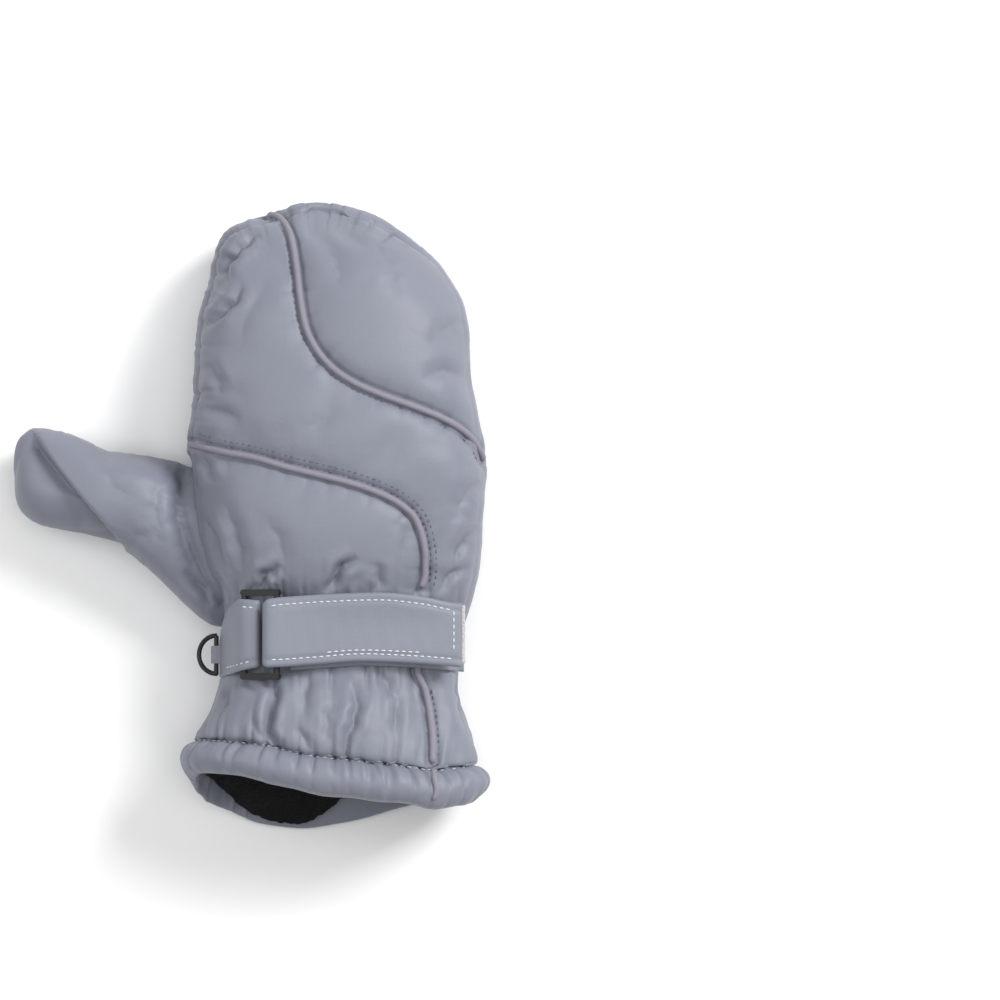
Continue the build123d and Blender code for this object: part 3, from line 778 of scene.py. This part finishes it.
def stitches(name, lines, length=1.7, gap=0.9, radius=0.28, sink=0.1):
    """Rows of short threads along laid lines of points, with both ends of each going into the cloth."""
    profile = (0, 0.25, -0.25), (0.2, 0.9, -0.02), (0.5, 1, 0.08), (0.8, 0.9, -0.02), (1, 0.25, -0.25)
    verts, faces = [], []
    for p in lines:
        s = np.concatenate([[0], np.cumsum(np.linalg.norm(np.diff(p, axis=0), axis=1))])
        at = 0.0
        while at + length < s[-1]:
            ends = [np.array([np.interp(a, s, p[:, k]) for k in range(3)]) for a in (at, at + length)]
            axis = ends[1] - ends[0]
            axis /= max(np.linalg.norm(axis), 1e-6)
            side = np.cross(axis, (0, 0, 1.0))
            side /= max(np.linalg.norm(side), 1e-6)
            up = np.cross(side, axis)
            base = len(verts)
            for f, r, rise in profile:
                c = ends[0] * (1 - f) + ends[1] * f + up * (rise - sink)
                for a in range(6):
                    ang = a * math.pi / 3
                    verts.append(c + radius * r * (math.cos(ang) * side + math.sin(ang) * up))
            for i in range(base, base + 24, 6):
                for a in range(6):
                    b = (a + 1) % 6
                    faces.append((i + a, i + b, i + 6 + b, i + 6 + a))
            faces.append(tuple(base + a for a in range(5, -1, -1)))
            faces.append(tuple(base + 24 + a for a in range(6)))
            at += length + gap
    return new_object(name, verts, faces)


whole = surface_of(shell, thumb)
low_a = [p for p in LOWER_PATH if p[1] > -47]
low_b = [p for p in LOWER_PATH if p[1] < -58]
piping_up = tube("piping_upper", laid_path(shell_tree, UPPER_PATH, 0.75), 1.35)
piping_low = tube("piping_lower", laid_path(whole, low_a, 0.75), 1.35)
piping_cuff = tube("piping_cuff", laid_path(whole, low_b, 0.75), 1.35)
hem_only = surface_of(hem)
over_hem = [(38.0, -115.2), (38.6, -118.5), (39.6, -124), (38.2, -128.2)]
piping_hem = tube("piping_hem", laid_path(hem_only, over_hem, 0.2, even=2), 1.15)
up_side = beside(UPPER_PATH[1:], -2.7)
stitch_up = stitches("stitch_upper", [laid_path(shell_tree, up_side, 0.15)])
stitch_low = stitches("stitch_lower", [laid_path(shell_tree, beside(low_a, 2.4), 0.12),
                                       laid_path(shell_tree, beside(low_a[1:], 4.4), 0.12),
                                       laid_path(shell_tree, beside(low_b[2:], 2.4), 0.12)])
hem_tree = surface_of(shell, hem)
hem_row = [(x, float(smooth(HEM_TOP, x))) for x in np.linspace(-56, 55, 60)]
stitch_hem = stitches("stitch_hem", [laid_path(hem_tree, hem_row, 0.25, even=2)], length=2.0, radius=0.3)
bpy.data.objects.remove(shell)
bpy.data.objects.remove(thumb)


# ---- the wrist strap, its tab and tapes ------------------------------------------------------------
# upper and lower edges in plan, by X
STRAP_TOP = [(-29.6, -50), (-27.6, -48.2), (-24, -47.5), (-16, -46.8), (-5, -46.1), (17, -45.4), (33, -46.8),
             (47, -49.4), (50, -49.6)]
STRAP_LOW = [(-29.6, -74.0), (-27.6, -75.2), (-10, -74.2), (10, -72.8), (30, -73.5), (50, -75)]
TAB_TOP = [(-48, -64), (-46.4, -56.5), (-43.5, -50.4), (-39.5, -47.8), (-31.2, -48.4)]
TAB_LOW = [(-48, -78.6), (-44, -78), (-38, -76.4), (-31.2, -75)]

ring_low, ring_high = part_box("ring_buckle")
BAR = 1.3  # radius of the ring's bars
WEB = 1.9  # thickness of the strap and the tab
ROW_IN = 3.0  # the rows of stitches lie this far in from an edge
ring_slope = (ring_high[2] - ring_low[2] - 2 * BAR * MM) / (ring_high[0] - ring_low[0] - 2 * BAR * MM)
ring_mid_x = (ring_low[0] + ring_high[0]) / 2 / MM
ring_mid_z = (ring_low[2] + ring_high[2]) / 2 / MM


def over_ring(x):
    """Height just clear of the ring's bars."""
    return ring_mid_z + (x - ring_mid_x) * ring_slope + BAR + 0.4


def wrist_top(x, y, wider=0.0):
    """The smooth back of the wrist, where the strap lies."""
    s = math.sqrt(TIP_Y - y)
    left, right = hand_at(LEFT, s), hand_at(RIGHT, s) + wider
    high, low = hand_at(HIGH, s), hand_at(LOW, s)
    u = np.clip((x - (left + right) / 2) / ((right - left) / 2), -0.995, 0.995)
    z = (low + high) / 2 + (high - low) / 2 * (1 - abs(u) ** POWER) ** (1 / POWER)
    return float(z + side_bulge(x, y))


def softly_over(a, b):
    """The larger of two heights, with a soft change from one to the other."""
    soft = 0.8
    m = max(a, b)
    return m + soft * math.log(math.exp((a - m) / soft) + math.exp((b - m) / soft))


def nose_drop(past, length, depth):
    """How far a band drops where it turns round a bar, by the distance past the start of the turn."""
    turn = min(max(past, 0) / length, 1)
    return depth * (1 - math.sqrt(1 - turn * turn * 0.98))


def strap_under(x, y):
    """Under the free end: over the wrist, over the ring's bar, and turned down round it."""
    base = wrist_top(x, y, 7) + 3.4
    bar = over_ring(-24.0) - 0.11 * (x + 24)
    return softly_over(base, bar) - nose_drop(-26.4 - x, 3.3, 3.0)


def tab_under(x, y):
    """Under the tab: turned down round the ring's bar, and down the thumb side of the wrist."""
    z = over_ring(-37.0) + 0.28 * (x + 37) - nose_drop(x + 33.6, 3.1, 2.6)
    past = 2.0 * math.log(1 + math.exp((-39.0 - x) / 2.0))
    return z - 0.86 * past ** 1.45


def lower_under(x, y):
    """Under the sewn run, right on the wrist."""
    return wrist_top(x, y) + 0.3


def band(name, x0, x1, y_top, y_bottom, under, thick, puff=0.0, nx=90, ny=34, rows=(), seed=0.0):
    """A padded band with soft edges, lying on a height function."""
    verts = []
    for layer in (1, 0):
        for x in np.linspace(x0, x1, nx):
            upper, lower = float(smooth(y_top, x)), float(smooth(y_bottom, x))
            for j in range(ny):
                f = j / (ny - 1)
                y = upper * (1 - f) + lower * f
                e = min(f, 1 - f) * abs(upper - lower)
                ex = min(x - x0, x1 - x)
                rim = min(1.0, ((e + 0.25) / 1.2) ** 0.5) * min(1.0, ((ex + 0.25) / 1.2) ** 0.5)
                z = under(x, y) + thick * 0.5 + (layer - 0.5) * thick * rim
                if layer:
                    pad = min(1.0, e / 6) * min(1.0, ex / 6)
                    z += puff * math.sin(pad * math.pi / 2)
                    for row in rows:
                        z -= 0.4 * math.exp(-((e - row) / 0.8) ** 2)
                    z += (0.14 * math.sin(x * 0.21 + 3 * f + seed) + 0.03 * math.sin(x * 0.9 - 6 * f)) * pad
                verts.append((x, y, z))
    faces = []
    n = nx * ny
    for i in range(nx - 1):
        for j in range(ny - 1):
            a = i * ny + j
            faces.append((a, a + 1, a + ny + 1, a + ny))
            faces.append((n + a, n + a + ny, n + a + ny + 1, n + a + 1))
    rim_loop = [i * ny for i in range(nx)] + [(nx - 1) * ny + j for j in range(1, ny)]
    rim_loop += [i * ny + ny - 1 for i in range(nx - 2, -1, -1)] + [j for j in range(ny - 2, 0, -1)]
    for a, b in zip(rim_loop, rim_loop[1:] + rim_loop[:1]):
        faces.append((a, b, n + b, n + a))
    obj = new_object(name, verts, faces)
    bm = bmesh.new()
    bm.from_mesh(obj.data)
    bmesh.ops.recalc_face_normals(bm, faces=bm.faces)
    bm.to_mesh(obj.data)
    bm.free()
    return obj


def flat_line(y):
    return [(-60, y), (60, y)]


strap = band("strap_padded", -29.6, 49.7, STRAP_TOP, STRAP_LOW, strap_under, WEB,
             puff=0.8, nx=120, rows=(ROW_IN,))
under_strap = band("strap_sewn_run", -19, 50.3, shifted(STRAP_TOP, -1.5), shifted(STRAP_LOW, -1.5),
                   lower_under, 1.5, puff=0.2)
loop_piece = band("loop_fleece", 0, 44, flat_line(-50), flat_line(-72.0),
                  lambda x, y: wrist_top(x, y) + 1.7, 1.3, nx=40, ny=20)
hook_piece = band("hook_strip", 26, 50.9, flat_line(-50.2), flat_line(-73.4),
                  lambda x, y: strap_under(x, y) - 0.75, 0.75, nx=50, ny=26)
tab = band("tab_padded", -48.0, -30.6, TAB_TOP, TAB_LOW, tab_under, WEB,
           puff=0.6, nx=44, rows=(ROW_IN,), seed=2.0)

strap_tree = surface_of(strap)
tab_tree = surface_of(tab)
END_ROW = 46.4  # X of the row across the strap's end
xs = np.linspace(-26, END_ROW, 60)
strap_rows = [
    [(x, float(smooth(STRAP_TOP, x)) - ROW_IN) for x in xs],
    [(x, float(smooth(STRAP_LOW, x)) + ROW_IN) for x in xs],
    [(x, float(smooth(STRAP_LOW, x)) + ROW_IN + 1.5) for x in np.linspace(-4, 34, 30)],
    [(END_ROW, y) for y in np.linspace(-52.6, -71.6, 16)],
]
tab_rows = [[(-44.5, -75), (-40, -74.0), (-33.4, -72.4)], [(-38.0, -51), (-35, -51.2), (-33.0, -51.4)]]
strap_thread = stitches("strap_thread", [laid_path(strap_tree, row, 0.12, even=2) for row in strap_rows],
                        length=1.9, gap=0.8, radius=0.3, sink=0.0)
tab_thread = stitches("tab_thread", [laid_path(tab_tree, row, 0.12, even=2) for row in tab_rows],
                      length=1.9, gap=0.8, radius=0.28, sink=0.0)


# ---- materials ------------------------------------------------------------------------------------
def node(tree, kind, **inputs):
    """A shader node with some of its inputs set or linked."""
    made = tree.nodes.new(kind)
    for key, value in inputs.items():
        socket = made.inputs[int(key[1:])] if key[0] == "_" else made.inputs[key]
        if isinstance(value, bpy.types.NodeSocket):
            tree.links.new(value, socket)
        else:
            socket.default_value = value
    return made


def bump(tree, height, strength, distance, below):
    """A bump on top of another, in metres."""
    made = node(tree, "ShaderNodeBump", Strength=strength, Distance=distance, Height=height)
    if below:
        tree.links.new(below, made.inputs["Normal"])
    return made.outputs["Normal"]


def material(name, color, rough, shine=0.5, sheen=0.0, weave=0.0, fuzz=0.0, crinkle=0.0, spread=0.06):
    """A cloth or plastic with uneven colour, and bumps for its crinkles, its weave or its pile."""
    m = bpy.data.materials.new(name)
    m.use_nodes = True
    tree = m.node_tree
    bsdf = tree.nodes["Principled BSDF"]
    bsdf.inputs["Roughness"].default_value = rough
    bsdf.inputs["Specular IOR Level"].default_value = shine
    if sheen:
        bsdf.inputs["Sheen Weight"].default_value = sheen
        bsdf.inputs["Sheen Roughness"].default_value = 0.45
        bsdf.inputs["Sheen Tint"].default_value = (0.85, 0.9, 1, 1)
    where = tree.nodes.new("ShaderNodeTexCoord").outputs["Object"]
    broad = node(tree, "ShaderNodeTexNoise", Vector=where, Scale=55, Detail=6).outputs["Fac"]
    fine = node(tree, "ShaderNodeTexNoise", Vector=where, Scale=1400, Detail=3).outputs["Fac"]
    half = node(tree, "ShaderNodeMath", _0=broad, _1=0.55)
    half.operation = "MULTIPLY"
    both = node(tree, "ShaderNodeMath", _0=fine, _1=0.45, _2=half.outputs[0])
    both.operation = "MULTIPLY_ADD"
    ramp = node(tree, "ShaderNodeValToRGB", Fac=both.outputs[0])
    dark, light = ramp.color_ramp.elements
    dark.position, light.position = 0.3, 0.72
    dark.color = [c * (1 - spread) for c in color] + [1]
    light.color = [min(1, c * (1 + spread)) for c in color] + [1]
    tree.links.new(ramp.outputs["Color"], bsdf.inputs["Base Color"])
    normal = None
    if crinkle:
        wrinkle = node(tree, "ShaderNodeTexNoise", Vector=where, Scale=160, Detail=4, Distortion=0.8)
        normal = bump(tree, wrinkle.outputs["Fac"], crinkle, 0.0009, normal)
    if weave:
        threads = []
        for direction in ("X", "Y"):
            wave = node(tree, "ShaderNodeTexWave", Vector=where, Scale=640, Distortion=0.6, Detail=1)
            wave.bands_direction = direction
            threads.append(wave.outputs["Fac"])
        cross = node(tree, "ShaderNodeMath", _0=threads[0], _1=threads[1])
        cross.operation = "MULTIPLY"
        normal = bump(tree, cross.outputs[0], weave, 0.0002, normal)
    if fuzz:
        normal = bump(tree, fine, fuzz, 0.0012, normal)
    if normal:
        tree.links.new(normal, bsdf.inputs["Normal"])
    return m


CLOTH = {"shine": 0.36, "spread": 0.03, "sheen": 0.06}
nylon = material("nylon_shell", (0.183, 0.194, 0.237), 0.48, weave=0.16, crinkle=0.16, **CLOTH)
strap_cloth = material("strap_cloth", (0.20, 0.213, 0.257), 0.5, weave=0.25, crinkle=0.12, **CLOTH)
piping_cloth = material("piping_cloth", (0.228, 0.214, 0.262), 0.6,
                        shine=0.36, sheen=0.08, weave=0.5, spread=0.05)
grip = material("grip_pu", (0.10, 0.105, 0.125), 0.6, weave=0.6, crinkle=0.4, spread=0.1)
fleece = material("fleece", (0.010, 0.010, 0.011), 0.95, shine=0.2, sheen=0.12, fuzz=1.0, spread=0.5)
wad = material("wadding", (0.8, 0.8, 0.78), 0.95, fuzz=0.7, spread=0.05)
elastic = material("elastic", (0.7, 0.7, 0.68), 0.8, weave=0.6)
thread_white = material("thread_white", (0.62, 0.63, 0.66), 0.7, spread=0.08)
thread_pale = material("thread_pale", (0.42, 0.44, 0.50), 0.7, spread=0.08)
thread_grey = material("thread_grey", (0.12, 0.125, 0.16), 0.7, spread=0.1)
tape = material("touch_tape", (0.60, 0.53, 0.55), 0.85, fuzz=0.9, spread=0.1)
plastic = material("black_plastic", (0.013, 0.013, 0.014), 0.42, shine=0.3, crinkle=0.12, spread=0.15)


def finish_with(obj, mat):
    obj.data.materials.clear()
    obj.data.materials.append(mat)


LOOKS = {"_lining": (fleece, "fleece"), "_insulation": (wad, "wadding"), "_panel": (nylon, "shell_nylon"),
         "_band": (nylon, "shell_nylon")}
ALSO = {"thumb_back_panel": ["gusset_shell"], "thumb_insulation": ["gusset_insulation"],
        "thumb_lining": ["gusset_lining"]}
for part, obj in panels.items():
    mat, slot = LOOKS[part[part.rindex("_"):]]
    finish_with(obj, mat)
    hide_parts(part, *ALSO.get(part, []))
    if part.startswith("thumb_"):
        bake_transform(obj)
    else:
        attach(obj, "mitten")

# each laid piece with its material, slot, body and the CAD nodes it replaces
for obj, mat, slot, body, nodes in [
    (piping_up, piping_cloth, "piping_cloth", "mitten", ["upper_piping"]),
    (piping_low, piping_cloth, "piping_cloth", "mitten", ["lower_piping"]),
    (piping_cuff, piping_cloth, "piping_cloth", "mitten", []),
    (piping_hem, piping_cloth, "piping_cloth", "mitten", []),
    (stitch_up, thread_grey, "shell_nylon", "mitten", []),
    (stitch_low, thread_grey, "shell_nylon", "mitten", []),
    (stitch_hem, thread_pale, "shell_nylon", "mitten", []),
    (cord, elastic, "elastic_cord", "mitten", ["hem_elastic"]),
    (wrist_cord, elastic, "elastic_cord", "mitten", ["wrist_elastic"]),
    (strap, strap_cloth, "strap_cloth", "strap", ["strap_flap"]),
    (hook_piece, tape, "touch_tape", "strap", ["hook_tape"]),
    (strap_thread, thread_white, "strap_cloth", "strap", []),
    (under_strap, strap_cloth, "strap_cloth", "mitten", ["strap_lower"]),
    (loop_piece, tape, "touch_tape", "mitten", ["loop_tape"]),
    (tab, strap_cloth, "strap_cloth", "mitten", ["anchor_tab"]),
    (tab_thread, thread_white, "strap_cloth", "mitten", []),
]:
    finish_with(obj, mat)
    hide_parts(*nodes)
    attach(obj, body)

for part, mat in {"ring_buckle": plastic, "d_ring": plastic, "d_ring_loop": strap_cloth,
                  "palm_grip_patch": grip}.items():
    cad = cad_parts[part]
    cad.data.materials.clear()
    cad.data.materials.append(mat)


# ---- floor, light and camera ------------------------------------------------------------------------
def emitter(name, at, size, power):
    """A square soft light, aimed at the object."""
    light = bpy.data.lights.new(name, "AREA")
    light.shape = "RECTANGLE"
    light.size = light.size_y = size
    light.energy = power
    obj = bpy.data.objects.new(name, light)
    obj.location = at
    aim = Vector((0, 0, 0.03)) - Vector(at)
    obj.rotation_euler = aim.to_track_quat("-Z", "Y").to_euler()
    bpy.context.scene.collection.objects.link(obj)


bpy.ops.mesh.primitive_plane_add(size=6, location=(0, 0, 0))
floor = bpy.context.object
floor.name = "floor"
floor_mat = bpy.data.materials.new("floor_white")
floor_mat.use_nodes = True
floor_mat.node_tree.nodes["Principled BSDF"].inputs["Base Color"].default_value = (0.9, 0.9, 0.9, 1)
floor_mat.node_tree.nodes["Principled BSDF"].inputs["Roughness"].default_value = 0.9
floor.data.materials.append(floor_mat)

emitter("key", (1.5, 1.1, 1.6), 0.9, 56)
emitter("fill", (-1.5, 0.3, 1.6), 1.4, 13)
emitter("top", (0.1, 0.0, 2.2), 1.5, 15)
bpy.context.scene.view_settings.view_transform = "Standard"
world = bpy.data.worlds.new("world")
bpy.context.scene.world = world
world.use_nodes = True
world.node_tree.nodes["Background"].inputs["Color"].default_value = (1, 1, 1, 1)
world.node_tree.nodes["Background"].inputs["Strength"].default_value = 0.42

cam_data = bpy.data.cameras.new("camera")
cam_data.sensor_width = 36
cam_data.lens = 216
cam = bpy.data.objects.new("camera", cam_data)
CAMERA_DISTANCE = 2.4
target = Vector((0.0648, -0.008, 0.045))
elevation = math.radians(87.5)
cam.location = target + Vector((0, -math.cos(elevation), math.sin(elevation))) * CAMERA_DISTANCE
cam.rotation_euler = (target - cam.location).to_track_quat("-Z", "Y").to_euler()
bpy.context.scene.collection.objects.link(cam)
bpy.context.scene.camera = cam
